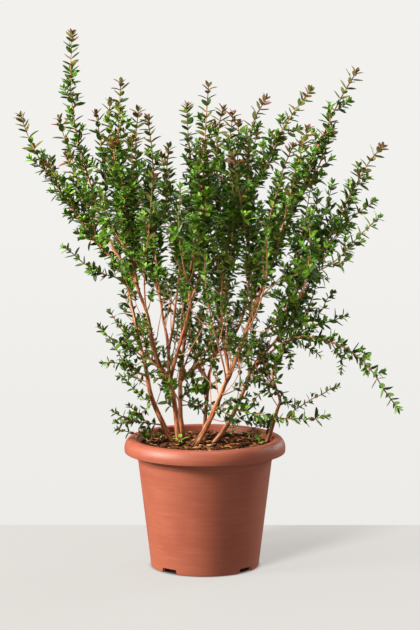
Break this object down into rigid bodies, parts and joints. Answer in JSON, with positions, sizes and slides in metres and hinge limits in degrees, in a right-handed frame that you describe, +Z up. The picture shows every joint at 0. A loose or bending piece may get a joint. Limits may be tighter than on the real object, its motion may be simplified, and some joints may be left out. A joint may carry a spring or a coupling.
{
  "type": "potted myrtle",
  "caption": "Bushy small-leaved myrtle shrub with bare forked stems, growing in a round tapered plastic pot with a rolled rim.",
  "frame": {"origin": "on the floor, under the middle of the pot's foot ring", "axes": "+Z up along the pot's axis; -Y towards the viewer, +X to the viewer's right, where the arching shoot hangs out"},
  "size_m": [0.4288, 0.2803, 0.6002],
  "materials": {
    "pot": "matte",
    "potting_mix": "matte",
    "bark": "matte",
    "foliage": "satin",
    "young_leaf": "satin"
  },
  "bodies": {
    "root": {"branch_arching": "bark", "branch_arching_foliage": "foliage", "branch_back_fork": "bark", "branch_back_fork_foliage": "foliage", "branch_centre_right": "bark", "branch_centre_right_foliage": "foliage", "branch_cross_right": "bark", "branch_cross_right_foliage": "foliage", "branch_left_back": "bark", "branch_left_back_foliage": "foliage", "branch_left_front": "bark", "branch_left_front_foliage": "foliage", "branch_left_middle": "bark", "branch_left_middle_foliage": "foliage", "branch_right_back": "bark", "branch_right_back_foliage": "foliage", "branch_tall_left": "bark", "branch_tall_left_foliage": "foliage", "pot": "pot", "potting_mix": "potting_mix", "shoot_back_left": "foliage", "shoot_back_low_left": "foliage", "shoot_back_middle": "foliage", "shoot_back_right": "foliage", "shoot_front_far_left": "foliage", "shoot_front_far_right": "foliage", "shoot_front_left": "foliage", "shoot_front_low": "foliage", "shoot_front_middle": "foliage", "shoot_front_right": "foliage", "shoot_left_front": "foliage", "shoot_left_inner": "foliage", "shoot_left_lower": "foliage", "shoot_left_mid": "foliage", "shoot_low_right": "foliage", "shoot_right_long": "foliage", "shoot_right_low": "foliage", "shoot_right_mid": "foliage", "shoot_top_left_a": "foliage", "shoot_top_left_b": "foliage", "shoot_top_left_c": "foliage", "shoot_top_right": "foliage", "sprig_low_left": "foliage", "sprout_back": "young_leaf", "sprout_front": "young_leaf", "sprout_right": "young_leaf", "stem_centre_back": "bark", "stem_centre_back_foliage": "foliage", "stem_centre_front": "bark", "stem_centre_front_foliage": "foliage", "stem_far_left": "bark", "stem_far_left_foliage": "foliage", "stem_left": "bark", "stem_left_foliage": "foliage", "stem_left_inner": "bark", "stem_left_inner_foliage": "foliage", "stem_right": "bark", "stem_right_centre": "bark", "stem_right_centre_foliage": "foliage", "stem_right_foliage": "foliage"}
  },
  "joints": []
}
